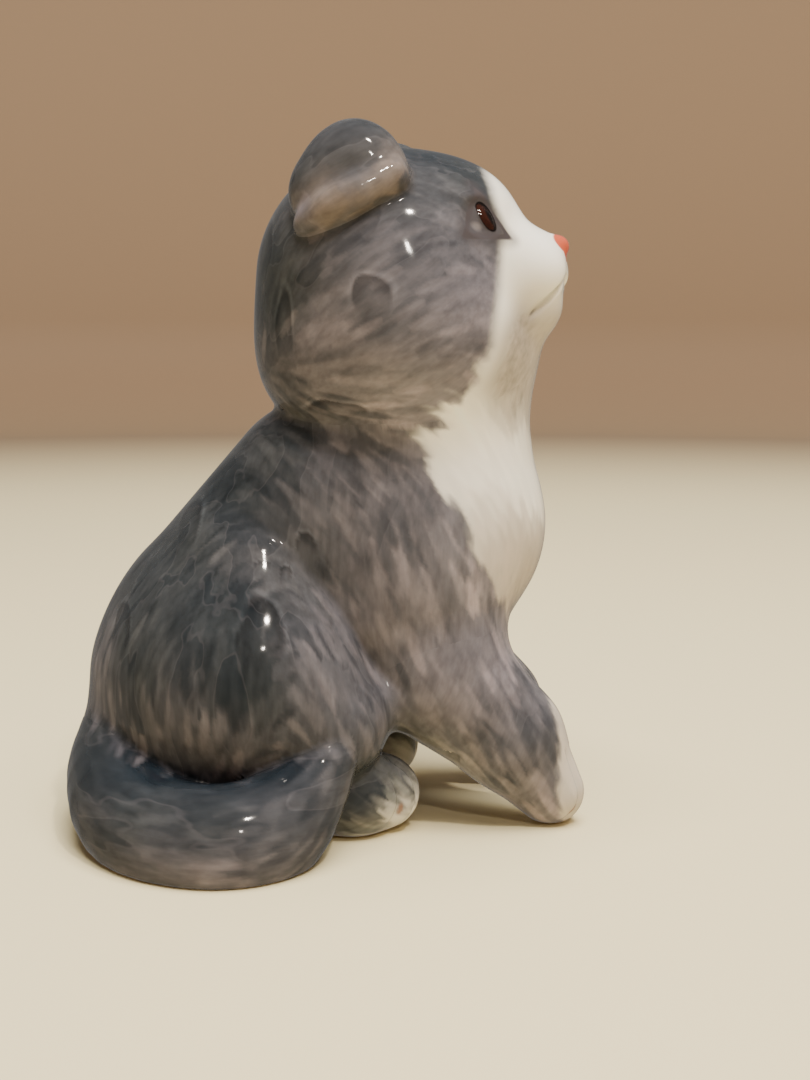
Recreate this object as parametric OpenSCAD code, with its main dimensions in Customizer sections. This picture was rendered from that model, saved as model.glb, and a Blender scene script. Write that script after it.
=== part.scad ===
// Sitting kitten figurine: hollow slip-cast porcelain, glazed, closed underneath by a plate.
// Units are millimetres. +X is the way the cat faces, +Y its left and +Z up.
// The origin is the middle of the base plate's underside, on the table.
// The castings are stuck together with slip, so each one is cut to the shape of its neighbour.

/* [Torso] */
// Radius of the rump, seen from the side
rump_r = 20.8; // [19.8:0.1:21.8]
// Height of the rump's middle
rump_z = 20; // [19:0.5:22]
// Radius of the chest, seen from the side
chest_r = 18.4; // [17.4:0.1:19.2]
// Height of the chest's widest place
chest_z = 43.5; // [42:0.5:45]
// Radius of the neck where the head sits on it
neck_r = 15.4; // [14.5:0.1:16]
// Radius of the thigh
thigh_r = 16.8; // [15.5:0.1:17.5]
// Distance from the middle of the back to the middle of a thigh
thigh_y = 11.5; // [10:0.5:13]

/* [Head] */
// Radius of the skull, front to back
skull_r = 20; // [19:0.1:21]
// Height of the skull's middle
skull_z = 79; // [77:0.5:81]
// Distance from the skull's middle to the tip of the muzzle
muzzle_reach = 26.4; // [25:0.1:28]
// How far the head is turned towards the cat's right, in degrees
head_turn = 10; // [0:1:20]
// Radius of the upper part of an ear
ear_r = 6.3; // [5.9:0.1:6.9]
// Thickness of the folded lower edge of an ear
ear_fold_t = 5.2; // [4:0.1:6]

/* [Legs] */
// Radius of a foreleg at the elbow
elbow_r = 10.3; // [9.5:0.1:11]
// Radius of a forepaw
forepaw_r = 5.1; // [4.5:0.1:5.6]
// Distance from the middle of the chest to a forepaw
forepaw_y = 10.4; // [9.5:0.1:12]
// Radius of a hind paw
hind_paw_r = 6.6; // [6:0.1:7.2]
// Distance from the middle of the body to a hind paw
hind_paw_y = 14.4; // [13.4:0.1:16]

/* [Tail] */
// Radius of the tail where it lies beside the thigh
tail_r = 8; // [7.4:0.1:8.6]
// Distance from the middle of the body to the middle of the tail
tail_y = 30.9; // [29.5:0.1:32]

/* [Casting] */
// Wall thickness of the hollow castings
wall = 3; // [2.4:0.1:3.6]
// Radius of the round opening under the torso
mouth_r = 14; // [12:0.5:16]
// Gap around the base plate, filled with slip
slip_gap = 0.15; // [0.1:0.05:0.3]
// Thickness of the base plate
plate_t = 3; // [2.5:0.1:4]
// Radius of the vent hole that lets the air out in the kiln
vent_r = 2.5; // [2:0.1:3]
// Distance from the middle of the base plate to the vent hole
vent_x = 7; // [6:0.5:8]

/* [Hidden] */

left = 1;
right = -1;
form_fn = 28;
table = 120;

glaze_grey = [0.36, 0.36, 0.37];
glaze_warm = [0.55, 0.50, 0.46];
glaze_dark = [0.25, 0.27, 0.30];
glaze_cream = [0.80, 0.77, 0.72];
biscuit = [0.88, 0.84, 0.78];

// The forms are listed as beads [x, y, z, radius], and a hull joins each bead to the next.
rump_x = -2;
back_beads = [[0, 0, 28, 18], [13, 0, 47, neck_r]];
chest_x = 27;
chest_beads = [[22, 0, chest_z - 11, chest_r - 1], [chest_x, 0, chest_z, chest_r],
               [chest_x + 0.4, 0, chest_z + 14, neck_r], [chest_x + 3, 0, chest_z + 23, neck_r - 2.8]];
haunch_beads = [[3, thigh_y - 1.5, 36, 10], [2.5, thigh_y, 22, thigh_r], [13.5, thigh_y + 4.5, 17, 9.3]];

skull_x = 22.4;
muzzle_x = muzzle_reach - 7.2;
bridge_beads = [[11.4, 0, 4.8, 7], [muzzle_reach - 3.8, 0, 4.2, 2.8]];
ear_beads = [[-4.9, 14, 12, ear_r], [-2, 13.6, 16, ear_r - 0.6], [1.1, 14, 13.2, ear_r - 1.3]];
fold_r = ear_fold_t / 2;
fold_beads = [[-8.4, 17.2, 7.4, fold_r - 1.2], [-6, 18.2, 8.7, fold_r - 0.4], [-2, 18.8, 10.8, fold_r],
              [3.4, 16.4, 13.8, fold_r - 0.2]];

foreleg_beads = [[30.5, 9.6, 22, elbow_r], [40.4, 10.2, 12.9, 7.7], [46.4, forepaw_y, 4.9, forepaw_r]];
left_foot_back = 1.6;
hind_paw_beads = [[10, hind_paw_y - 0.5, 8.5, 8.5], [17.5, hind_paw_y, 5.8, hind_paw_r],
                  [21.5, hind_paw_y - 1.6, 5.4, hind_paw_r - 1]];

// The tail leaves the rump behind, lies along the right thigh and ends in a raised tip.
tail_beads = [[-12, 2, 11, 9], [-15, -8, 8.4, tail_r + 0.6], [-14.4, -19, 5.8, tail_r - 0.1],
              [-8.2, -27.4, 3.6, tail_r - 0.1], [0, -tail_y, 3.4, tail_r], [6.6, -28.4, 4.8, 7.4],
              [12.6, -23.8, 10.4, 4.8], [16.8, -21, 18, 2], [18.6, -20.6, 22, 0.8]];

// A round form of three radii, closed by a hull so that it joins the limbs as one skin
module egg(place, radii, inset = 0) {
    translate(place)
        hull()
            scale([for (r = radii) r - inset])
                sphere(1, $fn = form_fn);
}

// A chain of beads, scaled across by wide about its own first bead's place
module limb(beads, inset = 0, wide = 1) {
    middle = beads[0].y;
    for (i = [0 : len(beads) - 2])
        translate([0, middle, 0])
            scale([1, wide, 1])
                hull()
                    for (b = [beads[i], beads[i + 1]])
                        translate([b.x, (b.y - middle) / wide, b.z])
                            sphere(b[3] - inset, $fn = form_fn);
}

// Draws its children on both sides of the body
module both_sides() {
    for (side = [left, right])
        scale([1, side, 1])
            children();
}

module on_side(side) {
    scale([1, side, 1])
        children();
}

// Places its children in the head's own directions, from the skull's middle
module at_head() {
    translate([skull_x, 0, skull_z])
        rotate(-head_turn)
            children();
}

module torso_form(inset = 0) {
    egg([rump_x, 0, rump_z], [rump_r, rump_r + 2, rump_r], inset);
    egg([rump_x, 0, 7], [23, 24, 10], inset);
    limb(back_beads, inset);
    limb(chest_beads, inset, 0.95);
    both_sides() {
        limb(haunch_beads, inset);
        translate([27, 8.5, 36])
            rotate([0, -20, 0])
                egg([0, 0, 0], [11, 9.5, 15], inset);
    }
}

module head_form(inset = 0) {
    at_head() {
        egg([0.4, 0, 0.4], [skull_r - 0.4, skull_r + 1, skull_r - 0.8], inset);
        egg([-4.8, 0, -9.5], [14.6, 18.5, 14.3], inset);
        egg([8.4, 0, 7], [11.4, 13, 10.6], inset);
        egg([13.4, 0, -7], [8.6, 9, 9], inset);
        both_sides() {
            egg([5, 8, -7.6], [14, 13, 12.6], inset);
            egg([muzzle_x, 3.4, 1.2], [7.2, 5.2, 5.7], inset);
        }
        egg([muzzle_x - 0.2, 0, -3.4], [6.8, 6.5, 5.4], inset);
        limb(bridge_beads, inset);
    }
}

module ear_form(side) {
    at_head()
        on_side(side) {
            limb(ear_beads, wide = 0.9);
            limb(fold_beads);
        }
}

module above_table() {
    intersection() {
        children();
        translate([-table / 2, -table / 2, 0])
            cube(table);
    }
}

module torso() {
    color(glaze_grey)
        above_table()
            difference() {
                torso_form();
                translate([0, 0, wall])
                    above_table()
                        translate([0, 0, -wall])
                            torso_form(wall);
                cylinder(r = mouth_r, h = 2 * wall, center = true, $fn = 4 * form_fn);
                head_form();
            }
}

module base_plate() {
    color(biscuit)
        difference() {
            cylinder(r = mouth_r - slip_gap, h = plate_t, $fn = 4 * form_fn);
            translate([vent_x, 0, plate_t / 2])
                cylinder(r = vent_r, h = 2 * plate_t, center = true, $fn = 2 * form_fn);
        }
}

module head() {
    color(glaze_warm)
        difference() {
            union() {
                head_form();
                at_head()
                    egg([muzzle_reach - 1.5, 0, 5.1], [1.8, 2.1, 1.7]);
            }
            head_form(wall);
            translate([chest_x, 0, chest_z])
                cylinder(r = neck_r - 2 * wall, h = chest_z - 3 * wall, $fn = form_fn);
        }
}

module ear(side) {
    color(glaze_grey)
        difference() {
            ear_form(side);
            head_form();
        }
}

module foreleg(side) {
    color(glaze_warm)
        above_table()
            difference() {
                translate([side == left ? -left_foot_back : 0, 0, 0])
                    on_side(side)
                        limb(foreleg_beads, wide = 0.86);
                torso_form();
            }
}

module hind_paw(side) {
    color(glaze_cream)
        above_table()
            difference() {
                on_side(side)
                    limb(hind_paw_beads, wide = 0.95);
                torso_form();
                limb(tail_beads);
            }
}

module tail() {
    color(glaze_dark)
        above_table()
            difference() {
                limb(tail_beads);
                torso_form();
            }
}

torso();
base_plate();
head();
ear(left);  // left_ear
ear(right);  // right_ear
foreleg(left);  // left_foreleg
foreleg(right);  // right_foreleg
hind_paw(left);  // left_hind_paw
hind_paw(right);  // right_hind_paw
tail();
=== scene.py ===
"""The looks of a sitting porcelain kitten, built around its packed castings.

The castings' forms are the CAD's own eggs and chains of beads, melted into one glazed skin.
Each casting is the part of that skin that lies nearest to its own forms, closed by the faces
where it meets its neighbours. The fur is painted on the skin stroke by stroke, along the way
that the fur lies. Forms are listed in design millimetres and scaled to the CAD's height.
"""
import math

import bpy
import numpy as np
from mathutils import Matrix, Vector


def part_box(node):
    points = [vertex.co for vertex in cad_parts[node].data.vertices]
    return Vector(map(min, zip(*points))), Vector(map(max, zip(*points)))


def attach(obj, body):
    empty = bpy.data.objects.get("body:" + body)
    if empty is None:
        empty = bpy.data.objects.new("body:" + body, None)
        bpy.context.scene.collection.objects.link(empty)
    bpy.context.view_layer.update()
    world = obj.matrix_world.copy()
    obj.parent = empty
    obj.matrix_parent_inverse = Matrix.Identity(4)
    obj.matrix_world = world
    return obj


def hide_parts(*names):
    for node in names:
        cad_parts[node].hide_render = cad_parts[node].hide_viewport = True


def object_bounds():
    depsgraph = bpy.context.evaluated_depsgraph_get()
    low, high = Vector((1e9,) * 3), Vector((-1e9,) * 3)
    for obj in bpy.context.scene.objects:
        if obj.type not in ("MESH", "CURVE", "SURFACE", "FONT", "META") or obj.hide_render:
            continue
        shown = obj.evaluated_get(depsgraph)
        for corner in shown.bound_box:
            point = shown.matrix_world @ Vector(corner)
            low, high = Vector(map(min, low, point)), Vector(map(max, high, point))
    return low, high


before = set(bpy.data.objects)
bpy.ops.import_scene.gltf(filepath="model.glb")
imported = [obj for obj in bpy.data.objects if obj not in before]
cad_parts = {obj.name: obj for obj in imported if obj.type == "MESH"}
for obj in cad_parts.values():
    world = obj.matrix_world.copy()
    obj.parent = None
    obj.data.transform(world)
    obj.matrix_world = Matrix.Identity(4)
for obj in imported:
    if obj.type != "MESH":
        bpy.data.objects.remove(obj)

import openvdb
from mathutils import Matrix, Vector
from mathutils.kdtree import KDTree

CAD_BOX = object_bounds()
DESIGN_HEIGHT = 100.7
UNIT = (CAD_BOX[1].z - CAD_BOX[0].z) / DESIGN_HEIGHT
RNG = np.random.default_rng(7)

# ---------------------------------------------------------------- sizes, as in the CAD
RUMP_R = 20.8
RUMP_Z = 20.0
CHEST_R = 18.4
CHEST_X = 27.0
CHEST_Z = 43.5
NECK_R = 15.4
THIGH_R = 16.8
THIGH_Y = 11.5
SKULL = (22.4, 0.0, 79.0)
SKULL_R = 20.0
MUZZLE_REACH = 26.4
HEAD_TURN = -10.0
EAR_R = 6.3
FOLD_R = 2.6
ELBOW_R = 10.3
FOREPAW_R = 5.1
FOREPAW_Y = 10.4
HIND_PAW_R = 6.6
HIND_PAW_Y = 14.4
TAIL_R = 8.0
TAIL_Y = 30.9
WALL = 3.0
MOUTH_R = 14.0

# ---------------------------------------------------------------- sizes that only the looks have
# How widely the castings melt into each other where they meet, and into the table's plane
NECK_FILLET = 1.4
THROAT_FILLET = 6
LEG_FILLET = 4.5
PAW_FILLET = 1.2
TAIL_FILLET = 0.6
TAIL_ROOT_FILLET = 5
EAR_FILLET = 0.8
NOSE_FILLET = 0.7
TABLE_FILLET = 0.8
# How far each casting stops before its neighbour, and how near the skin a point is on it
SLIP = 0.05
ON_SKIN = 0.1
# The room around the cat, in metres
ROOM_R = 0.9
ROOM_HEIGHT = 0.6
ROOM_CURVE = 0.08

# ---------------------------------------------------------------- beads: x, y, z and radius
BACK = [(0, 0, 28, 18), (13, 0, 47, NECK_R)]
CHEST = [(22, 0, CHEST_Z - 11, CHEST_R - 1), (CHEST_X, 0, CHEST_Z, CHEST_R),
         (CHEST_X + 0.4, 0, CHEST_Z + 14, NECK_R), (CHEST_X + 3, 0, CHEST_Z + 23, NECK_R - 2.8)]
HAUNCH = [(3, THIGH_Y - 1.5, 36, 10), (2.5, THIGH_Y, 22, THIGH_R), (13.5, THIGH_Y + 4.5, 17, 9.3)]
BRIDGE = [(11.4, 0, 4.8, 7), (MUZZLE_REACH - 3.8, 0, 4.2, 2.8)]
EAR = [(-4.9, 14, 12, EAR_R), (-2, 13.6, 16, EAR_R - 0.6), (1.1, 14, 13.2, EAR_R - 1.3)]
FOLD = [(-8.4, 17.2, 7.4, FOLD_R - 1.2), (-6, 18.2, 8.7, FOLD_R - 0.4), (-2, 18.8, 10.8, FOLD_R),
        (3.4, 16.4, 13.8, FOLD_R - 0.2)]
FORELEG = [(30.5, 9.6, 22, ELBOW_R), (40.4, 10.2, 12.9, 7.7), (46.4, FOREPAW_Y, 4.9, FOREPAW_R)]
LEFT_FOOT_BACK = 1.6
HIND_PAW = [(10, HIND_PAW_Y - 0.5, 8.5, 8.5), (17.5, HIND_PAW_Y, 5.8, HIND_PAW_R),
            (21.5, HIND_PAW_Y - 1.6, 5.4, HIND_PAW_R - 1)]
# Toes of the hind paws and forepaws: the paw's tip, its middle, how far apart and how deep
TOES = [(27, HIND_PAW_Y, 2.7, 0.6), (51.5, FOREPAW_Y, 2.3, 0.3)]
TAIL = [(-12, 2, 11, 9), (-15, -8, 8.4, TAIL_R + 0.6), (-14.4, -19, 5.8, TAIL_R - 0.1),
        (-8.2, -27.4, 3.6, TAIL_R - 0.1), (0, -TAIL_Y, 3.4, TAIL_R), (6.6, -28.4, 4.8, 7.4),
        (12.6, -23.8, 10.4, 4.8), (16.8, -21, 18, 2), (18.6, -20.6, 22, 0.8)]

# On the head, from the skull's middle: x to the nose, y away from the middle, z up
EYE = (15.9, 10.6, 8.7)
EYE_OUT = (0.84, 0.5, 0.2)
# In the eye's plane, towards the nose and up: place, radii and lean in degrees
SOCKET = ((-0.7, -0.1), (3.7, 3.1))
IRIS = ((0.4, -0.05), (1.2, 1.9), 29)
LIDS = [(-0.1, 3.2), (3.6, -2.3), (-4.5, -2.7)]
LID_ROUNDING = 0.9
# How deep the eye's painted spots reach into the head
EYE_THROUGH = 20
MOUTH = [(26.6, 0.2, 0.5), (26.6, 1.6, 0.5), (26.2, 3.1, 0), (25.4, 4.5, -1.2), (23.6, 5.7, -3.1),
         (21.4, 6.4, -4.8)]
PHILTRUM = [(26.2, 0, 3.4), (26.5, 0, 0.5)]
NOSE = ((24.9, 0, 5.1), (1.8, 2.1, 1.7))
NOSE_PAINT = [((25.6, 0, 5.5), (2, 2.9, 1.7)), ((26, 0, 4.3), (1.6, 1.9, 1.6))]


# ---------------------------------------------------------------- signed distance fields
def turn_matrix(turn):
    """The rotation by three angles in degrees, about X, then Y, then Z"""
    rx, ry, rz = np.radians(turn)
    about_x = np.array([[1, 0, 0], [0, math.cos(rx), -math.sin(rx)], [0, math.sin(rx), math.cos(rx)]])
    about_y = np.array([[math.cos(ry), 0, math.sin(ry)], [0, 1, 0], [-math.sin(ry), 0, math.cos(ry)]])
    about_z = np.array([[math.cos(rz), -math.sin(rz), 0], [math.sin(rz), math.cos(rz), 0], [0, 0, 1]])
    return (about_z @ about_y @ about_x).astype(np.float32)


def egg(p, centre, radii, turn=(0, 0, 0)):
    """Distance to an ellipsoid, good near its surface"""
    q = (p - np.array(centre, np.float32)) @ turn_matrix(turn)
    r = np.array(radii, np.float32)
    near = np.sqrt(((q / r) ** 2).sum(1)) + 1e-6
    slope = np.sqrt(((q / (r * r)) ** 2).sum(1)) + 1e-9
    return near * (near - 1) / slope


def round_cone(p, a, b):
    """Distance to the hull of two balls a and b, each (x, y, z, radius)"""
    a, b = np.array(a, np.float32), np.array(b, np.float32)
    from_a, axis = p - a[:3], b[:3] - a[:3]
    length2 = float(axis @ axis)
    taper = float(a[3] - b[3])
    side2 = length2 - taper * taper
    along = from_a @ axis
    beyond = along - length2
    off = from_a * length2 - along[:, None] * axis
    off2 = (off * off).sum(1)
    before2 = along * along * length2
    beyond2 = beyond * beyond * length2
    limit = np.sign(taper) * taper * taper * off2
    d = (np.sqrt(off2 * side2 / length2) + along * taper) / length2 - a[3]
    d = np.where(np.sign(along) * side2 * before2 < limit, np.sqrt(off2 + before2) / length2 - a[3], d)
    return np.where(np.sign(beyond) * side2 * beyond2 > limit,
                    np.sqrt(off2 + beyond2) / length2 - b[3], d)


def melt(a, b, reach):
    """The union of two fields with a fillet about as wide as reach"""
    h = np.maximum(reach - np.abs(a - b), 0) / np.maximum(reach, 1e-6)
    return np.minimum(a, b) - h * h * reach / 4


def limb(p, beads, reach=2.0, wide=1.0):
    """A chain of beads, scaled across by wide about its first bead's place"""
    if wide != 1:
        middle = beads[0][1]
        p = np.stack([p[:, 0], (p[:, 1] - middle) / wide + middle, p[:, 2]], 1)
        beads = [(x, (y - middle) / wide + middle, z, r) for x, y, z, r in beads]
    d = None
    for a, b in zip(beads, beads[1:]):
        part = round_cone(p, a, b)
        d = part if d is None else melt(d, part, reach)
    return d


def smooth_step(low, high, x):
    t = np.clip((x - low) / (high - low), 0, 1)
    return t * t * (3 - 2 * t)


def eased_chain(beads, steps=3):
    """The same chain with extra beads between, on a smooth curve through all of them"""
    beads = np.array(beads, float)
    ends = np.vstack([2 * beads[0] - beads[1], beads, 2 * beads[-1] - beads[-2]])
    out = []
    for a, b, c, d in zip(ends, ends[1:], ends[2:], ends[3:]):
        for t in np.arange(steps) / steps:
            out.append(b + t * (c - a) / 2 + t * t * (a - 2.5 * b + 2 * c - d / 2)
                       + t ** 3 * (1.5 * b - a / 2 - 1.5 * c + d / 2))
    return [tuple(bead) for bead in out] + [tuple(beads[-1])]


def mirrored(p):
    return p * np.array([1, -1, 1], np.float32)


def folded(p):
    """The same points with both sides of the middle laid on the +Y side"""
    return np.stack([p[:, 0], np.abs(p[:, 1]), p[:, 2]], 1)


def head_space(p):
    """Points from the skull's middle, in the turned head's own directions"""
    return (p - np.array(SKULL, np.float32)) @ turn_matrix((0, 0, HEAD_TURN))


def line_distance(p, points):
    """Distance to a chain of straight lines"""
    best = np.full(len(p), 1e3, np.float32)
    for a, b in zip(points, points[1:]):
        a, b = np.array(a, np.float32), np.array(b, np.float32)
        t = np.clip((p - a) @ (b - a) / float((b - a) @ (b - a)), 0, 1)
        best = np.minimum(best, np.linalg.norm(p - a - t[:, None] * (b - a), axis=1))
    return best


# ---------------------------------------------------------------- forms of the castings
def torso_form(p):
    d = egg(p, (-2, 0, RUMP_Z), (RUMP_R, RUMP_R + 2, RUMP_R))
    d = melt(d, limb(p, BACK), 4)
    d = melt(d, limb(p, CHEST, 3, 0.95), 5)
    d = melt(d, egg(p, (-2, 0, 7), (23, 24, 10)), 4)
    crease = 0.8 + 5 * (1 - smooth_step(-8, 6, p[:, 0]))
    for q in (p, mirrored(p)):
        d = melt(d, egg(q, (27, 8.5, 36), (11, 9.5, 15), (0, -20, 0)), 5)
    for q in (p, mirrored(p)):
        d = melt(d, limb(q, HAUNCH, 3), crease)
    return d


def head_form(p):
    q = head_space(p)
    d = egg(q, (0.4, 0, 0.4), (SKULL_R - 0.4, SKULL_R + 1, SKULL_R - 0.8))
    d = melt(d, egg(q, (-4.8, 0, -9.5), (14.6, 18.5, 14.3)), 4)
    d = melt(d, egg(q, (8.4, 0, 7), (11.4, 13, 10.6)), 3)
    d = melt(d, egg(q, (13.4, 0, -7), (8.6, 9, 9)), 4)
    for side in (q, mirrored(q)):
        d = melt(d, egg(side, (5, 8, -7.6), (14, 13, 12.6)), 5)
    d = melt(d, limb(q, BRIDGE, 1), 3)
    for side in (q, mirrored(q)):
        d = melt(d, egg(side, (MUZZLE_REACH - 7.2, 3.4, 1.2), (7.2, 5.2, 5.7)), 3.5)
    return melt(d, egg(q, (MUZZLE_REACH - 7.4, 0, -3.4), (6.8, 6.5, 5.4)), 2)


def ears_form(p):
    q = folded(head_space(p))
    return melt(limb(q, eased_chain(EAR), 1, 0.9), limb(q, eased_chain(FOLD), 1), 1.2)


def forelegs_form(p):
    q = folded(p)
    q[:, 0] += LEFT_FOOT_BACK * (p[:, 1] > 0)
    return limb(q, FORELEG, 2, 0.86)


def hind_paws_form(p):
    return limb(folded(p), HIND_PAW, 1, 0.95)


def tail_form(p):
    return limb(p, eased_chain(TAIL), 1)


def dent(distance, depth, width):
    """How far a soft groove pushes the skin in, at some distance from its line"""
    return depth * np.exp(-(distance / width) ** 2)


def eye_frame():
    """The eye's own directions on the head: towards the nose, up and out"""
    out = np.array(EYE_OUT) / np.linalg.norm(EYE_OUT)
    nosewards = np.cross(out, (0, 0, 1))
    nosewards = nosewards / np.linalg.norm(nosewards)
    return nosewards, np.cross(nosewards, out), out


def ring(a, b, place, radii, lean=0):
    """How many radii a point of the eye's plane lies from a place, in an ellipse leant by lean"""
    along, across = math.cos(math.radians(lean)), math.sin(math.radians(lean))
    a, b = a - place[0], b - place[1]
    return np.hypot((a * along + b * across) / radii[0], (b * along - a * across) / radii[1])


def face_relief(p):
    """Grooves and swellings of the face, as an offset to add to the skin's field"""
    q = folded(head_space(p))
    off = q - np.array(EYE, np.float32)
    a, b, depth = (off @ way.astype(np.float32) for way in eye_frame())
    near = np.exp(-(depth / 4) ** 2)
    relief = 0.5 * near * (1 - smooth_step(0.5, 1.1, ring(a, b, *SOCKET)))
    relief -= 0.55 * near * (1 - smooth_step(0.4, 1.25, ring(a, b, *IRIS)))
    relief -= 0.25 * near * dent(ring(a, b, (-0.9, 3.4), (3.2, 0.9)), 1, 1)
    lips = dent(line_distance(q, MOUTH), 0.7, 0.6) * smooth_step(20.8, 23.6, q[:, 0])
    return relief + lips + dent(line_distance(q, PHILTRUM), 0.6, 0.55)


def toe_relief(p, tip_x, middle_y, spacing, depth):
    """Grooves between the toes of the paws whose fronts are at tip_x"""
    y = np.abs(p[:, 1]) - middle_y
    between = np.min([np.abs(y - spacing * i) for i in (-1, 0, 1)], axis=0)
    on_paw = (np.abs(p[:, 0] - tip_x) < 6) & (p[:, 2] < 12)
    return dent(between, depth, 0.5) * smooth_step(tip_x - 6, tip_x - 2, p[:, 0]) * on_paw


CELLS = {
    "torso": 0.5,
    "head": 0.34,
    "left_ear": 0.3,
    "right_ear": 0.3,
    "left_foreleg": 0.4,
    "right_foreleg": 0.4,
    "left_hind_paw": 0.32,
    "right_hind_paw": 0.32,
    "tail": 0.4,
}
# The lattice is first tried in blocks of this many cells, and a band of this many is kept exact
BLOCK = 4
BAND = 4
HOST = {"ear": "head", "foreleg": "torso", "hind_paw": "torso", "tail": "torso"}


def all_forms(p):
    return {
        "torso": torso_form(p),
        "head": head_form(p),
        "ear": ears_form(p),
        "foreleg": forelegs_form(p),
        "hind_paw": hind_paws_form(p),
        "tail": tail_form(p),
    }


def skin(p, forms):
    """The glazed skin of the whole cat, above the table"""
    neck = NECK_FILLET + THROAT_FILLET * smooth_step(14, 30, p[:, 0])
    tail_root = TAIL_FILLET + TAIL_ROOT_FILLET * (1 - smooth_step(-22, -12, p[:, 0]))
    d = melt(forms["torso"], forms["head"], neck)
    d = melt(d, forms["foreleg"], LEG_FILLET)
    d = melt(d, forms["hind_paw"], PAW_FILLET)
    d = melt(d, forms["tail"], tail_root)
    d = melt(d, forms["ear"], EAR_FILLET)
    d = melt(d, egg(head_space(p), *NOSE), NOSE_FILLET)
    d = d + face_relief(p)
    for toes in TOES:
        d = d + toe_relief(p, *toes)
    return -melt(-d, p[:, 2], TABLE_FILLET)


def claims(forms):
    """For each kind of casting, a field that is below zero where the cat's body is its own"""
    out = {"head": np.minimum(forms["head"] - forms["torso"], 2 * forms["head"]) / 2}
    for kind, host in HOST.items():
        nearest = np.min([d for other, d in forms.items() if other != kind], axis=0)
        out[kind] = np.maximum((forms[kind] - nearest) / 2, -forms[host])
    out["torso"] = np.max([-d for d in out.values()], axis=0)
    out["head"] = np.maximum(out["head"], -out["ear"])
    return out


def hollow(p, forms):
    """Below zero inside the hollow of the torso and head, and in the mouth underneath"""
    cast = melt(forms["torso"], forms["head"], 4) + WALL
    mouth = np.maximum(np.hypot(p[:, 0], p[:, 1]) - MOUTH_R, p[:, 2] - 2 * WALL)
    return np.minimum(np.maximum(cast, WALL - p[:, 2]), mouth)


def kind_of(name):
    """A casting's name without its side"""
    return name.removeprefix("left_").removeprefix("right_")


def surfaces(name, p):
    """The three fields whose highest is the casting's own: skin, joints and hollow"""
    forms = all_forms(p)
    joint = claims(forms)[kind_of(name)] - SLIP
    if name != kind_of(name):
        joint = np.maximum(joint, -p[:, 1] if name.startswith("left") else p[:, 1])
    return np.stack([skin(p, forms), joint, -hollow(p, forms)])


def with_slopes(name, p, step=0.05):
    """The three fields at points, and their slopes as (field, point, axis)"""
    here = surfaces(name, p)
    ahead = [surfaces(name, p + step * way) for way in np.eye(3, dtype=np.float32)]
    return here, (np.stack(ahead, 2) - here[:, :, None]) / step


def settle(name, p, wanted):
    """Moves points onto the fields that wanted marks for each of them"""
    values, slope = with_slopes(name, p)
    for kind in range(len(values)):
        steep = np.maximum((slope[kind] ** 2).sum(1), 0.05)
        step = np.where(wanted[kind], np.clip(values[kind] / steep, -0.4, 0.4), 0)
        p = p - slope[kind] * step[:, None]
    return p.astype(np.float32)


def lattice(low, count, cell):
    """The points of a box-shaped lattice, one row each"""
    axes = [(low[i] + cell * np.arange(count[i])).astype(np.float32) for i in range(3)]
    return np.stack(np.meshgrid(*axes, indexing="ij"), -1).reshape(-1, 3)


def field_grid(name, low, blocks, cell):
    """The casting's field on a lattice, worked out in full only in the blocks near its surface"""
    middle = low + cell * (BLOCK - 1) / 2
    coarse = surfaces(name, lattice(middle, blocks, BLOCK * cell)).max(0).reshape(blocks)
    values = coarse.repeat(BLOCK, 0).repeat(BLOCK, 1).repeat(BLOCK, 2)
    near = np.argwhere(np.abs(coarse) < 1.4 * BLOCK * cell)
    inside = lattice((0, 0, 0), (BLOCK, BLOCK, BLOCK), 1)
    places = (near[:, None] * BLOCK + inside).reshape(-1, 3).astype(int)
    values[tuple(places.T)] = surfaces(name, (low + cell * places).astype(np.float32)).max(0)
    return np.clip(values, -BAND * cell, BAND * cell)


def casting_shape(name, cell):
    """Corner points, faces, and which surface each face lies on, of one closed casting"""
    low, high = (np.array(corner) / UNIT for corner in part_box(name))
    low = low - 2.5
    blocks = np.ceil((high + 2.5 - low) / cell / BLOCK).astype(int)
    grid = openvdb.FloatGrid(BAND * cell)
    grid.copyFromArray(field_grid(name, low, blocks, cell))
    points, quads = grid.convertToQuads(0.0)
    points = (points * cell + low).astype(np.float32)

    near = np.abs(surfaces(name, points))
    wanted = (near < 0.7 * cell) | (near == near.min(0))
    for _ in range(4):
        points = settle(name, points, wanted)
    on_face = np.abs(surfaces(name, points[quads].mean(1))).argmin(0)
    return points, quads, on_face


def add_mesh(name, points, quads):
    mesh = bpy.data.meshes.new(name)
    mesh.vertices.add(len(points))
    mesh.vertices.foreach_set("co", (points * UNIT).astype(np.float32).ravel())
    mesh.loops.add(quads.size)
    mesh.loops.foreach_set("vertex_index", quads.ravel().astype(np.int32))
    mesh.polygons.add(len(quads))
    mesh.polygons.foreach_set("loop_start", np.arange(0, quads.size, 4, dtype=np.int32))
    mesh.update(calc_edges=True)
    thing = bpy.data.objects.new(name, mesh)
    bpy.context.scene.collection.objects.link(thing)
    return thing


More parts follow.
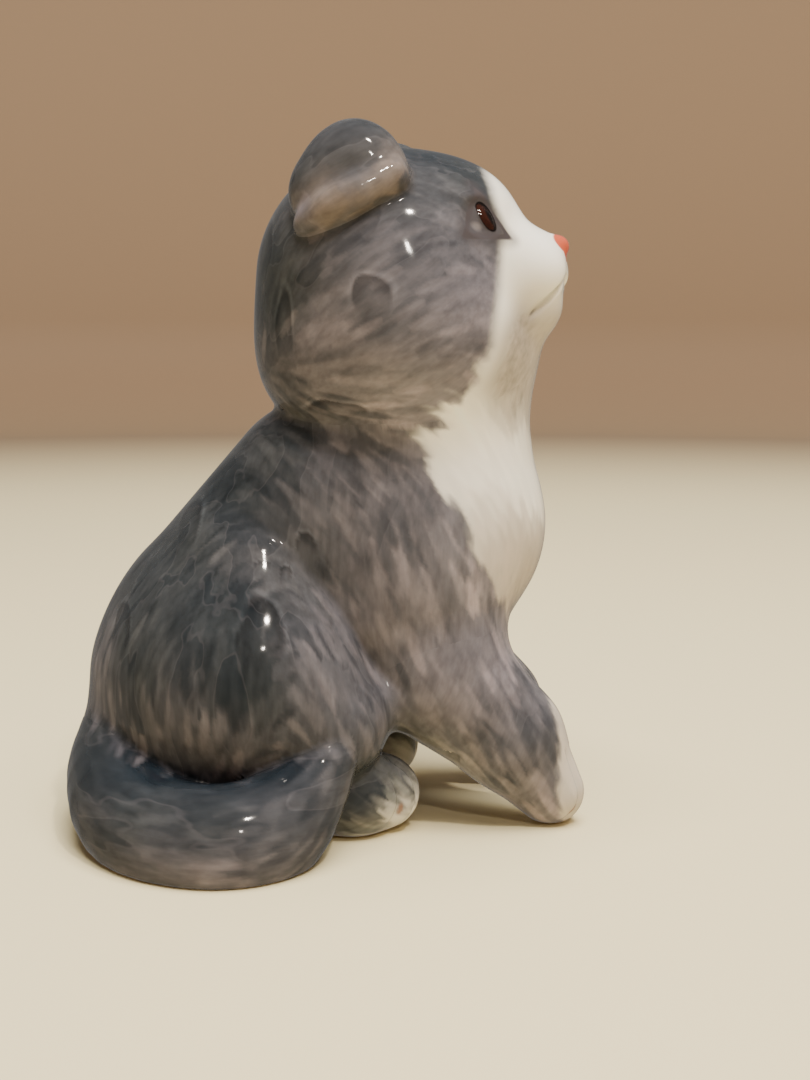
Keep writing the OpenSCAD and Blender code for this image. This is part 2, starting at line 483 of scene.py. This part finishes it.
def make_castings():
    """Builds every glazed casting, and returns its object, points and skin directions by name"""
    made = {}
    for name, cell in CELLS.items():
        points, quads, on_face = casting_shape(name, cell * (1))
        values, slope = with_slopes(name, points)
        slope /= np.linalg.norm(slope, axis=2)[:, :, None] + 1e-9
        thing = add_mesh("glazed_" + name, points, quads)
        thing.data.shade_smooth()
        thing.data.normals_split_custom_set(slope[np.repeat(on_face, 4), quads.ravel()].tolist())
        on_skin = np.abs(values[0]) < ON_SKIN
        made[name] = {"object": thing, "points": points, "out": slope[0], "on_skin": on_skin}
        if name == "head":
            face = folded(head_space(points))
            lips = np.minimum(line_distance(face, MOUTH), line_distance(face, PHILTRUM))
            thing.data.attributes.new("mouth", "FLOAT", "POINT").data.foreach_set("value", lips)
        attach(thing, "root")
        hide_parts(name)
        print(name, len(points), "points")
    return made


# ---------------------------------------------------------------- underglaze painting
# Colours of the painted coat under the clear glaze, darkest first
INK = (0.009, 0.014, 0.020)
SLATE = (0.022, 0.026, 0.030)
STONE = (0.036, 0.040, 0.044)
ASH = (0.059, 0.060, 0.067)
TAUPE = (0.086, 0.084, 0.098)
FAWN = (0.140, 0.129, 0.150)
BARK = (0.150, 0.124, 0.112)
SAND = (0.190, 0.175, 0.198)
# Painted shade under the chin and down the throat
THROAT_SHADE = (0.32, 0.28, 0.235)
CREAM = (0.46, 0.41, 0.36)
WHITE = (0.86, 0.83, 0.75)
# Colours of the face and claws
LID_GREY = (0.055, 0.048, 0.052)
EYE_GREY = (0.06, 0.055, 0.06)
LID_PALE = (0.14, 0.127, 0.13)
EYE_BLACK = (0.006, 0.004, 0.004)
IRIS_BROWN = (0.026, 0.008, 0.005)
SALMON = (0.46, 0.09, 0.047)
CLAW_BROWN = (0.25, 0.1, 0.05)
# Colours of bare fired clay and of the room
BISCUIT = (0.62, 0.54, 0.44)
BISCUIT_STAIN = (0.5, 0.42, 0.33)
FLOOR_CREAM = (0.77, 0.68, 0.42)
WALL_TAN = (0.32, 0.22, 0.14)
# How a lighter stroke warms and a darker one cools, channel by channel
STREAK_HUE = np.array([1.12, 1, 0.93])

# Places in the pattern's own space and the colour there: x, away from the middle, z
TONES = [
    (30, 3, 96, INK), (35, 6, 91, STONE), (28, 13, 90, ASH), (32, 15, 82, TAUPE),
    (19, 21, 70, FAWN), (38, 14, 75, FAWN), (27, 16, 63, SAND), (5, 6, 78, SLATE),
    (9, 17, 78, STONE), (8, 10, 64, TAUPE), (24, 21, 77, TAUPE), (9, 10, 56.5, STONE),
    (18, 14, 56, TAUPE), (17.5, 16, 51, TAUPE), (24.5, 17, 45.5, TAUPE), (27, 17, 38, FAWN),
    (34, 17, 40, SAND), (34, 16, 28, FAWN), (1.5, 8, 47, SLATE), (-6.5, 12, 39.5, STONE),
    (-12, 0, 36, SLATE), (2, 0, 50, SLATE), (7.7, 19, 40.6, ASH), (0, 24, 34, SLATE),
    (3.5, 28, 25, SLATE), (16, 24, 25.5, TAUPE), (-1, 26, 17, TAUPE), (20.5, 20, 19, TAUPE),
    (-18, 14, 20, TAUPE), (-14, 20, 28, STONE), (-22, 0, 18, ASH), (35, 18, 21, FAWN),
    (42, 16, 14, TAUPE), (47.5, 14, 5, FAWN), (39, 9, 12, TAUPE), (50, 10, 4, CREAM),
    (20, 19, 8, STONE), (24, 14, 8, SLATE), (26, 14, 3, WHITE), (16, 6, 12, ASH),
    (43, 0, 30, CREAM), (-12, 16, 102, FAWN),
]
# The throat-shade marks below the mouth's corners, and the cream marks under the chin at heights 69 and
# 72, are painted shade
WHITE_TONES = [
    (46, 3, 80, WHITE), (40, 2, 92, WHITE), (38, 12, 76, WHITE), (35, 14, 70, WHITE),
    (42, 7.5, 71, THROAT_SHADE), (38.5, 8, 66, THROAT_SHADE), (41, 1, 69, CREAM),
    (34, 12, 60, WHITE), (42, 6, 50, WHITE), (40, 8, 42, CREAM), (42, 6, 34, CREAM),
    (46.5, 2, 72, CREAM),
]
EAR_TONES = [(-4, 16, 18, ASH), (-2, 13, 20, STONE), (-7, 15, 13, STONE), (0, 19, 16, ASH),
             (-4, 20.5, 9, BARK), (3, 18, 13, BARK), (-8, 18.5, 7, FAWN)]
TAIL_TONES = [(-18, -15, 15, SLATE), (-9, -26, 12, INK), (0, -28, 11.5, INK), (9, -27, 13, INK),
              (17, -22, 19, SLATE), (-20, -20, 8, SLATE), (-10, -33, 8, STONE), (0, -37, 7.5, STONE),
              (8, -35, 7, ASH), (14, -27, 10, ASH), (-18, -26, 2, ASH), (-8, -36, 1.5, TAUPE),
              (1, -39, 1.5, FAWN), (9, -35, 1.5, TAUPE), (-22, -4, 10, SLATE)]

# Behind this edge the coat is dark: height, and how far forward
WHITE_EDGE = [(29, 47), (33, 39.8), (36.5, 37.6), (41, 35.5), (47, 32.4), (52, 28.9), (55.5, 28.2),
              (58, 30.6), (61, 34.4), (65, 38), (70, 39.8), (78, 40.4), (86, 40.4), (92, 38.6),
              (95.5, 36.8), (98, 42)]
# Above this height the white is laid on over the strokes
FACE_Z = 63
# A claw's line on a hind paw and on a forepaw
CLAWS = [[(24.4, 16.2, 5.2), (24.1, 17.4, 2.6)], [(49.6, 12.6, 3.4), (49.2, 13.8, 1.4)]]

# Places, and the way the fur lies there along x and z
FUR = [
    (24, 20, 78, 0.8, 0.55), (5, 8, 78, 0.45, 0.9), (25, 17, 64, 0.95, 0.3), (32, 8, 94, 0.9, -0.45),
    (16, 14, 54, 0.65, -0.75), (28, 17, 43, 0.35, -0.94), (0, 26, 26, 0.1, 1), (-12, 6, 38, 0.55, 0.83),
    (17, 22, 24, 0.35, -0.94), (38, 14, 18, 0.45, -0.9), (44, 4, 44, 0.3, -0.95), (36, 10, 58, 0.6, -0.8),
    (22, 16, 6, 0.8, -0.5), (-20, 8, 18, -0.2, 1), (46, 3, 80, 0.9, -0.2),
]

# How many strokes, how long and wide they are, and how much they vary in tone
STROKES = [(4500, 9, 3, 0.2), (8000, 7, 1.7, 0.28)]

# How much darker a pool is and how much lighter its rim, and the pools' places and radii: partly pooled
# colour, partly painted reflection
POOL_AND_REFLECTION_DEPTH = 0.5
POOL_AND_REFLECTION_RIM = 0.35
POOLS_AND_REFLECTIONS = [
    ((24.3, 20.5, 76.5), (3.1, 5, 3.2)), ((17.5, 15, 61), (4.6, 6, 1.5)), ((11, 16, 72), (1.5, 6, 5.6)),
    ((5.5, 25, 30.5), (3.2, 6, 6)), ((-15.5, 15, 29), (1.8, 6, 5.4)), ((5.2, 20, 39.8), (1.2, 3, 0.8)),
    ((8.4, 19, 38.4), (0.8, 3, 1.2)), ((11, 19, 42), (1.6, 6, 2.2)), ((7, 10, 83), (1.6, 6, 5)),
    ((-6, 9, 44), (2, 6, 5)), ((-19, 5, 30), (3, 3, 5)),
]


def blended(p, marks, softness=4.0):
    """Numbers listed at places, blended smoothly over points; each mark starts with x, y and z"""
    total, weight = 0, 0
    for x, y, z, *value in marks:
        value = np.array(value, np.float32).ravel()
        near = (((p - np.float32([x, y, z])) ** 2).sum(1) + softness ** 2) ** -2.5
        total = total + near[:, None] * value
        weight = weight + near[:, None]
    return total / weight


def pattern_space(p):
    """The body's own directions below the neck and the head's above it, both sides as one"""
    to_head = smooth_step(50, 62, p[:, 2])[:, None]
    return folded(p + to_head * (head_space(p) + np.float32(SKULL) - p)).astype(np.float32)


def tail_way(p):
    """The way that the tail runs, nearest to each point"""
    chain = np.array(eased_chain(TAIL))[:, :3]
    nearest = np.argmin([((p - bead) ** 2).sum(1) for bead in chain], axis=0)
    return np.gradient(chain, axis=0)[nearest]


def past_white_edge(q):
    """How far in front of the edge of the white face and bib"""
    return q[:, 0] - np.interp(q[:, 2], *zip(*WHITE_EDGE))


def coat(p, kind):
    """Base colours, the way that the fur lies, and how strongly it shows"""
    q = pattern_space(p)
    if kind == "tail":
        return blended(p, TAIL_TONES), tail_way(p), np.full(len(p), 0.8)
    if kind == "ear":
        way = np.tile((0.8, 0, 0.5), (len(p), 1))
        return blended(folded(head_space(p)), EAR_TONES, 2.5), way, np.full(len(p), 0.2)
    base = blended(q, TONES)
    lie = blended(q, FUR, 8)
    way = np.stack([lie[:, 0], 0 * lie[:, 0], lie[:, 1]], 1)
    bib = (past_white_edge(q) > 0) & (q[:, 2] < FACE_Z + 5)
    base[bib] = blended(q, WHITE_TONES)[bib]
    return base, way, np.where(q[:, 2] > FACE_Z, 0.55, 1)


def crease_depth(p, reach=1.1):
    """How hollow the skin is about each point: above zero in creases, below on ridges"""
    around = [skin(p + way * reach, all_forms(p + way * reach))
              for way in np.vstack([np.eye(3), -np.eye(3)]).astype(np.float32)]
    return (6 * skin(p, all_forms(p)) - sum(around)) / reach ** 2


def laid_out(points, ways, out):
    """Each way turned into the skin's own plane, and the direction across it"""
    along = ways - (ways * out).sum(1)[:, None] * out
    along = along / (np.linalg.norm(along, axis=1)[:, None] + 1e-6)
    return along, np.cross(out, along)


def brush(skin_of_cat, tree, count, length, width, contrast):
    """Lays strokes along the fur, each in the colour under its middle, made lighter or darker"""
    points, out, base, paint = (skin_of_cat[key] for key in ("points", "out", "base", "paint"))
    along, across = laid_out(points, skin_of_cat["way"], out)
    picks = RNG.choice(len(points), count, p=skin_of_cat["area"] / skin_of_cat["area"].sum())
    for pick, vary in zip(picks, RNG.normal(0, 1, count)):
        show = skin_of_cat["show"][pick]
        near = [index for _, index, _ in tree.find_range(Vector(points[pick]), length * show ** 0.5 / 2)]
        off = points[near] - points[pick]
        reach = (2 * (off @ along[pick]) / length) ** 2 + (2 * (off @ across[pick]) / width) ** 2
        share = show * np.clip(1.1 * (1 - reach), 0, 0.8) * (out[near] @ out[pick] > 0.2)
        is_pale = base[pick][0] > CREAM[0] - 0.05
        tone = base[pick] * math.exp(contrast * vary * (0.15 if is_pale else 1)) ** STREAK_HUE
        paint[near] += share[:, None] * (tone - paint[near])


def joined_coat(made):
    """The bare coat of all castings as one set of points"""
    parts = []
    for name, part in made.items():
        kind = kind_of(name)
        base, way, show = coat(part["points"], kind)
        area = np.full(len(base), CELLS[name] ** 2) * part["on_skin"]
        parts.append({"points": part["points"], "out": part["out"], "base": base, "way": way,
                      "show": show, "area": area, "kind": np.full(len(base), kind)})
    return {key: np.concatenate([part[key] for part in parts]) for key in parts[0]}


def cover(paint, share, tone):
    """Lays a tone over the paint, by each point's share of it"""
    paint += share[:, None] * (tone - paint)


def lay_strokes(cat):
    """All brush strokes, the broad ones first"""
    tree = KDTree(len(cat["points"]))
    for index, point in enumerate(cat["points"]):
        tree.insert(point, index)
    tree.balance()
    for stroke in STROKES:
        brush(cat, tree, *stroke)


def lay_white_face(paint, q):
    """The white of the face over the strokes, with a soft edge, and the shade painted under its chin"""
    face = smooth_step(-0.9, 0.9, past_white_edge(q)) * smooth_step(FACE_Z - 1.5, FACE_Z + 1.5, q[:, 2])
    cover(paint, face, blended(q, WHITE_TONES))


def lay_pools_and_reflections(paint, q, off_tail):
    """Dark pools with a crisp edge and a pale rim above, that fade out below: partly pooled colour,
    partly painted reflection
    """
    for place, radii in POOLS_AND_REFLECTIONS:
        far = np.linalg.norm((q - np.float32(place)) / np.float32(radii), axis=1)
        wobble = 0.1 * np.sin(q[:, 2] * 0.7 + q[:, 0] * 1.1)
        above = smooth_step(-0.9, 0.5, (q[:, 2] - place[2]) / radii[2]) * off_tail
        # Dark pool and pale rim, partly painted reflection
        pool_and_reflection = (1 - smooth_step(0.92, 1.05, far + wobble)) * above
        rim = np.exp(-((far + wobble - 1.12) / 0.1) ** 2) * above
        paint *= 1 - POOL_AND_REFLECTION_DEPTH * (pool_and_reflection * smooth_step(0, 1, far))[:, None]
        paint += (POOL_AND_REFLECTION_RIM * rim)[:, None] * paint


def lay_claws(paint, points):
    """One short line per paw"""
    for claw in CLAWS:
        mark = 0.7 * (1 - smooth_step(0.25, 0.6, line_distance(folded(points), claw)))
        cover(paint, mark, np.float32(CLAW_BROWN))


def shade_hollows(paint, points, q, off_ear):
    """Paints shadow under the ears and shade in the creases as darker colour, and paints dark paint on
    the ridges paler
    """
    # Painted shadow under the folds of the ears
    shadow_below_ear = np.exp(-(np.maximum(ears_form(points), 0) / 0.9) ** 2) * (q[:, 2] < 92) * off_ear
    paint *= 1 - 0.35 * shadow_below_ear[:, None]
    # Painted shade in the creases, and paler paint on the ridges
    crease = crease_depth(points)
    paint *= 1 - 0.3 * smooth_step(0.25, 1.6, crease)[:, None]
    cover(paint, 0.3 * smooth_step(0.2, 0.7, -crease) * (paint[:, 0] < FAWN[0]), np.float32(TAUPE))


def store_paint(made, paint):
    """Puts the paint on each mesh; its alpha is 0 on bare clay, at the joints and underneath"""
    start = 0
    for part in made.values():
        mine = slice(start, start + len(part["points"]))
        start = mine.stop
        underneath = (part["points"][:, 2] < 0.5) & (part["out"][:, 2] < -0.9)
        bare = ~part["on_skin"] | underneath
        rgba = np.ones((len(bare), 4), np.float32)
        rgba[:, :3] = np.where(bare[:, None], BISCUIT, np.clip(paint[mine], 0.01, 0.85))
        rgba[:, 3] = ~bare
        store = part["object"].data.attributes.new("paint", "FLOAT_COLOR", "POINT")
        store.data.foreach_set("color", rgba.ravel())


def paint_castings(made):
    """Paints the skin of all castings together, so that strokes run on across the joints"""
    cat = joined_coat(made)
    cat["paint"] = paint = cat["base"].copy()
    lay_strokes(cat)
    q = pattern_space(cat["points"])
    lay_white_face(paint, q)
    lay_pools_and_reflections(paint, q, cat["kind"] != "tail")
    lay_claws(paint, cat["points"])
    shade_hollows(paint, cat["points"], q, cat["kind"] != "ear")
    store_paint(made, paint)


# ---------------------------------------------------------------- materials
def node(tree, kind, inputs=None, **settings):
    """Adds a shader node, sets it up, and fills its inputs with values or other nodes' outputs"""
    made = tree.nodes.new("ShaderNode" + kind)
    for key, value in settings.items():
        setattr(made, key, value)
    for key, value in (inputs or {}).items():
        if isinstance(value, bpy.types.NodeSocket):
            tree.links.new(value, made.inputs[key])
        else:
            made.inputs[key].default_value = value
    return made


def math_node(tree, operation, *values):
    return node(tree, "Math", dict(enumerate(values)), operation=operation).outputs[0]


def vector_node(tree, operation, *values):
    made = node(tree, "VectorMath", dict(enumerate(values)), operation=operation)
    return made.outputs["Value" if operation in ("LENGTH", "DOT_PRODUCT") else "Vector"]


def fade(tree, value, full, none):
    """1 where value is at full, 0 where it is at none, and smooth between"""
    made = node(tree, "MapRange", {"Value": value, "From Min": none, "From Max": full},
                interpolation_type="SMOOTHSTEP")
    return made.outputs[0]


def mixed(tree, share, first, second):
    made = node(tree, "Mix", {"Factor": share}, data_type="RGBA")
    for socket, value in ((made.inputs[6], first), (made.inputs[7], second)):
        if isinstance(value, bpy.types.NodeSocket):
            tree.links.new(value, socket)
        else:
            socket.default_value = (*value, 1)
    return made.outputs[2]


def placed(tree, vector, location, turn=(0, 0, 0), scale=(1, 1, 1)):
    """The same point as seen from a place, turned and scaled there"""
    return node(tree, "Mapping", {"Vector": vector, "Location": location, "Rotation": turn,
                                  "Scale": scale}, vector_type="TEXTURE").outputs[0]


def noise(tree, vector, scale, detail, stretch=(1, 1, 1), turn=(0, 0, 0)):
    stretched = placed(tree, vector, (0, 0, 0), turn, stretch)
    return node(tree, "TexNoise", {"Vector": stretched, "Scale": scale, "Detail": detail}).outputs[0]


def new_material(name):
    made = bpy.data.materials.new(name)
    made.use_nodes = True
    return made, made.node_tree, made.node_tree.nodes["Principled BSDF"]


def link_surface(tree, shader, colour, rough, bump):
    for key, value in (("Base Color", colour), ("Roughness", rough), ("Normal", bump.outputs[0])):
        tree.links.new(value, shader.inputs[key])


def in_mm(tree):
    """Points in design millimetres"""
    return placed(tree, node(tree, "TexCoord").outputs["Object"], (0, 0, 0), scale=(UNIT, UNIT, UNIT))


def clear_glaze(tree, shader, colour, spot, bare):
    """Glossy glass over the paint, a little uneven and thicker in places, and dull where it is bare"""
    waves = noise(tree, spot, 0.11, 1.5)
    peel = noise(tree, spot, 0.9, 2)
    height = math_node(tree, "MULTIPLY_ADD", peel, 0.012, waves)
    bump = node(tree, "Bump", {"Height": height, "Strength": 0.35, "Distance": 0.4 * UNIT})
    smear = math_node(tree, "MULTIPLY_ADD", noise(tree, spot, 0.5, 3), 0.07, 0.04)
    rough = math_node(tree, "MULTIPLY_ADD", bare, 0.6, smear)
    link_surface(tree, shader, colour, rough, bump)
    shader.inputs["IOR"].default_value = 1.5
    shader.inputs["Specular IOR Level"].default_value = 0.25
    shader.inputs["Subsurface Weight"].default_value = 0.08
    shader.inputs["Subsurface Radius"].default_value = (1, 0.75, 0.55)
    shader.inputs["Subsurface Scale"].default_value = 1.2 * UNIT


def pools_and_reflections(tree, spot, turn, stretch, colour, on_dark):
    """Pools of deeper colour with crisp pale rims: partly paint that ran together under the glaze, partly
    painted reflection
    """
    run = noise(tree, spot, 0.16, 2.5, stretch, turn)
    # Dark pools and pale rims, partly painted reflection
    pool_and_reflection = math_node(tree, "MULTIPLY", fade(tree, run, 0.535, 0.52), on_dark)
    off_rim = math_node(tree, "ABSOLUTE", math_node(tree, "SUBTRACT", run, 0.517))
    rim = math_node(tree, "MULTIPLY", fade(tree, off_rim, 0.002, 0.013), on_dark)
    colour = mixed(tree, math_node(tree, "MULTIPLY", pool_and_reflection, 0.3), colour, INK)
    return mixed(tree, math_node(tree, "MULTIPLY", rim, 0.09), colour, FAWN)


def mottled_paint(tree, spot, turn, stretch):
    """The stored paint with fine brush marks along the fur and soft mottling"""
    stored = node(tree, "Attribute", attribute_name="paint")
    hairs = noise(tree, spot, 1.1, 3, stretch, turn)
    cloud = noise(tree, spot, 0.28, 3)
    shade = math_node(tree, "ADD", math_node(tree, "MULTIPLY", hairs, 0.75),
                      math_node(tree, "MULTIPLY", cloud, 0.65))
    strength = math_node(tree, "ADD", shade, 0.3)
    dark = vector_node(tree, "SCALE", stored.outputs["Color"])
    tree.links.new(strength, dark.node.inputs["Scale"])
    is_pale = fade(tree, stored.outputs["Fac"], 0.5, 0.3)
    colour = mixed(tree, is_pale, dark, stored.outputs["Color"])
    colour = pools_and_reflections(tree, spot, turn, stretch, colour, fade(tree, stored.outputs["Fac"], 0.05, 0.13))
    return colour, math_node(tree, "SUBTRACT", 1, stored.outputs["Alpha"])


def glaze_material(name, turn, stretch=(1, 1, 4)):
    made, tree, shader = new_material(name)
    spot = in_mm(tree)
    colour, bare = mottled_paint(tree, spot, turn, stretch)
    clear_glaze(tree, shader, colour, spot, bare)
    return made


def past_lids(tree, plane):
    """How far outside the triangle of the lids a point of the eye's plane lies"""
    sides = []
    for start, end in zip(LIDS, LIDS[1:] + LIDS[:1]):
        run = Vector(end) - Vector(start)
        normal = Vector((-run.y, run.x)).normalized()
        offset = normal.dot(Vector(start))
        dot = vector_node(tree, "DOT_PRODUCT", plane, (normal.x, normal.y, 0))
        sides.append(math_node(tree, "SUBTRACT", dot, offset))
    corner = math_node(tree, "SMOOTH_MAX", sides[0], sides[1], LID_ROUNDING)
    return math_node(tree, "SMOOTH_MAX", corner, sides[2], LID_ROUNDING)


def from_spot(tree, plane, place, radii, lean=0):
    """How many radii a point of the eye's plane lies from a place, in an ellipse leant by lean"""
    turn = (0, 0, math.radians(lean))
    return vector_node(tree, "LENGTH", placed(tree, plane, (*place, 0), turn, (*radii, EYE_THROUGH)))


def painted_eyes(tree, face, colour):
    """Both eyes: a dark triangular lid line, pale corners, and a red-brown iris edged in black"""
    toward, up, out = (Vector(way) for way in eye_frame())
    plane = placed(tree, face, EYE, Matrix((toward, up, out)).transposed().to_euler())
    from_eye = vector_node(tree, "LENGTH", plane)
    lids = past_lids(tree, plane)
    (a, b), (wide, tall), lean = IRIS
    lid_line = fade(tree, math_node(tree, "ABSOLUTE", lids), 0.2, 0.55)
    for mask, tone in (
            (math_node(tree, "MULTIPLY", fade(tree, lids, 0.2, 2.2), 0.55), LID_GREY),
            (fade(tree, lids, -0.5, 0), EYE_GREY),
            (fade(tree, from_spot(tree, plane, (-1.7, -1.4), (1.1, 0.7)), 0.2, 1.2), LID_PALE),
            (lid_line, LID_GREY)):
        near = fade(tree, from_eye, 5.5, 7)
        colour = mixed(tree, math_node(tree, "MULTIPLY", near, mask), colour, tone)
    for place, radii, low, high, tone in (
            ((a + 0.08, b + 0.05), (wide + 0.1, tall + 0.13), 0.94, 1.06, EYE_BLACK),
            ((a - 0.12, b), (wide - 0.12, tall - 0.1), 0.85, 1.02, IRIS_BROWN),
            ((a + 0.35, b + 0.1), (wide * 0.45, tall * 0.7), 0.5, 1.3, EYE_BLACK)):
        near = fade(tree, from_eye, 4, 5)
        mask = fade(tree, from_spot(tree, plane, place, radii, lean), low, high)
        colour = mixed(tree, math_node(tree, "MULTIPLY", near, mask), colour, tone)
    return colour


def head_material():
    made, tree, shader = new_material("head_glaze")
    spot = in_mm(tree)
    colour, bare = mottled_paint(tree, spot, (0, math.radians(-35), 0), (4, 1, 1))
    turned = placed(tree, spot, SKULL, (0, 0, math.radians(HEAD_TURN)))
    parts = node(tree, "SeparateXYZ", {0: turned}).outputs
    side = math_node(tree, "ABSOLUTE", parts[1])
    face = node(tree, "CombineXYZ", {0: parts[0], 1: side, 2: parts[2]}).outputs[0]
    colour = painted_eyes(tree, face, colour)
    for place, radii in NOSE_PAINT:
        inside = vector_node(tree, "LENGTH", placed(tree, face, place, scale=radii))
        colour = mixed(tree, fade(tree, inside, 0.9, 1.1), colour, SALMON)
    line = node(tree, "Attribute", attribute_name="mouth").outputs["Fac"]
    colour = mixed(tree, math_node(tree, "MULTIPLY", fade(tree, line, 0.05, 0.4), 0.7), colour, TAUPE)
    clear_glaze(tree, shader, colour, spot, bare)
    return made


def biscuit_material():
    """Unglazed fired clay: fine grain, faint stains and a dry surface"""
    made, tree, shader = new_material("biscuit")
    spot = in_mm(tree)
    stain = noise(tree, spot, 0.25, 4)
    grain = noise(tree, spot, 6, 3)
    colour = mixed(tree, fade(tree, stain, 0.65, 0.35), BISCUIT, BISCUIT_STAIN)
    rough = math_node(tree, "MULTIPLY_ADD", grain, 0.2, 0.65)
    bump = node(tree, "Bump", {"Height": grain, "Strength": 0.5, "Distance": 0.1 * UNIT})
    link_surface(tree, shader, colour, rough, bump)
    return made


def room_material():
    """A pale floor that turns into a plain warm wall"""
    made, tree, shader = new_material("room")
    spot = node(tree, "TexCoord").outputs["Object"]
    parts = node(tree, "SeparateXYZ", {0: spot}).outputs
    across = node(tree, "CombineXYZ", {0: parts[0], 1: parts[1]}).outputs[0]
    outward = math_node(tree, "ADD", vector_node(tree, "LENGTH", across), parts[2])
    # From half a metre before the wall, the floor darkens into the wall's tan: painted shade near the
    # wall
    far = fade(tree, outward, ROOM_R + 0.03, ROOM_R - 0.5)
    colour = mixed(tree, far, FLOOR_CREAM, WALL_TAN)
    tree.links.new(colour, shader.inputs["Base Color"])
    grain = noise(tree, spot, 900, 3, (1, 6, 1))
    bump = node(tree, "Bump", {"Height": grain, "Strength": 0.15, "Distance": 0.0002})
    tree.links.new(bump.outputs[0], shader.inputs["Normal"])
    shader.inputs["Roughness"].default_value = 0.55
    return made


# ---------------------------------------------------------------- room, lamps and camera
CAT_MIDDLE = (0.02, 0, 0.05)
LAMP_WARM = (1, 0.9, 0.78)
LAMP_NEUTRAL = (1, 0.95, 0.87)
SKY_WHITE = (1, 0.95, 0.9)
SKY_STRENGTH = 0.25
# Name, place, size in metres, watts, colour, and whether the glaze mirrors it
LAMPS = [
    ("ceiling_lamp", (0.22, -0.3, 0.65), 0.035, 2.8, LAMP_WARM, True),
    ("side_lamp", (0.2, -0.5, 0.46), 0.025, 0.8, LAMP_WARM, True),
    ("soft_sky", (0.1, -0.1, 0.85), 0.6, 17, LAMP_NEUTRAL, False),
]
# From the middle of the base, in design millimetres, and how far it looks down per step ahead
CAMERA_PLACE = (25, -225, 72.2)
CAMERA_DROP = 0.14


def make_room():
    """A round pale room whose floor curves up into the wall; the glaze mirrors only sky and lamps"""
    profile = [(ROOM_R - ROOM_CURVE * (1 - math.sin(t)), ROOM_CURVE * (1 - math.cos(t)))
               for t in np.linspace(0, math.pi / 2, 9)]
    profile.append((ROOM_R, ROOM_HEIGHT))
    steps, row = 96, len(profile)
    points, faces = [], []
    for step in range(steps):
        turn = 2 * math.pi * step / steps
        points += [(r * math.cos(turn), r * math.sin(turn), z) for r, z in profile]
        here, ahead = step * row, (step + 1) % steps * row
        faces += [(here + i, here + i + 1, ahead + i + 1, ahead + i) for i in range(row - 1)]
    faces.append([step * row for step in range(steps)])
    mesh = bpy.data.meshes.new("room")
    mesh.from_pydata(points, [], faces)
    mesh.materials.append(room_material())
    mesh.shade_smooth()
    room = bpy.data.objects.new("room", mesh)
    room.visible_glossy = False
    bpy.context.scene.collection.objects.link(room)


def add_lamp(name, place, size, watts, colour, in_gloss):
    """A square soft lamp that faces the middle of the cat"""
    lamp = bpy.data.lights.new(name, "AREA")
    lamp.size = size
    lamp.energy = watts
    lamp.color = colour
    thing = bpy.data.objects.new(name, lamp)
    thing.location = place
    thing.rotation_euler = (Vector(CAT_MIDDLE) - Vector(place)).to_track_quat("-Z", "Y").to_euler()
    thing.visible_glossy = in_gloss
    bpy.context.scene.collection.objects.link(thing)


def set_light():
    """The lamps, and an even sky that lights the shadows"""
    for lamp in LAMPS:
        add_lamp(*lamp)
    world = bpy.data.worlds.new("world")
    world.use_nodes = True
    background = world.node_tree.nodes["Background"]
    background.inputs["Color"].default_value = (*SKY_WHITE, 1)
    background.inputs["Strength"].default_value = SKY_STRENGTH
    bpy.context.scene.world = world


def set_camera():
    """At the height and distance of a phone held near the table, looking slightly down"""
    lens = bpy.data.cameras.new("camera")
    lens.sensor_width = 36
    lens.lens = 50
    lens.clip_start = 0.01
    camera = bpy.data.objects.new("camera", lens)
    camera.location = Vector(CAMERA_PLACE) * UNIT
    camera.rotation_euler = (math.pi / 2 - math.atan(CAMERA_DROP), 0, 0)
    bpy.context.scene.collection.objects.link(camera)
    bpy.context.scene.camera = camera


MATERIALS = {
    "torso": glaze_material("torso_glaze", (0, 0, 0)),
    "head": head_material(),
    "ear": glaze_material("ear_glaze", (0, math.radians(60), 0)),
    "foreleg": glaze_material("foreleg_glaze", (0, math.radians(20), 0)),
    "hind_paw": glaze_material("hind_paw_glaze", (0, math.radians(70), 0)),
    "tail": glaze_material("tail_glaze", (0, 0, 0), (4, 4, 1)),
}
CASTINGS = make_castings()
paint_castings(CASTINGS)
for name, part in CASTINGS.items():
    part["object"].data.materials.append(MATERIALS[kind_of(name)])
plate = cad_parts["base_plate"]
plate.data.materials.clear()
plate.data.materials.append(biscuit_material())

make_room()
set_light()
set_camera()
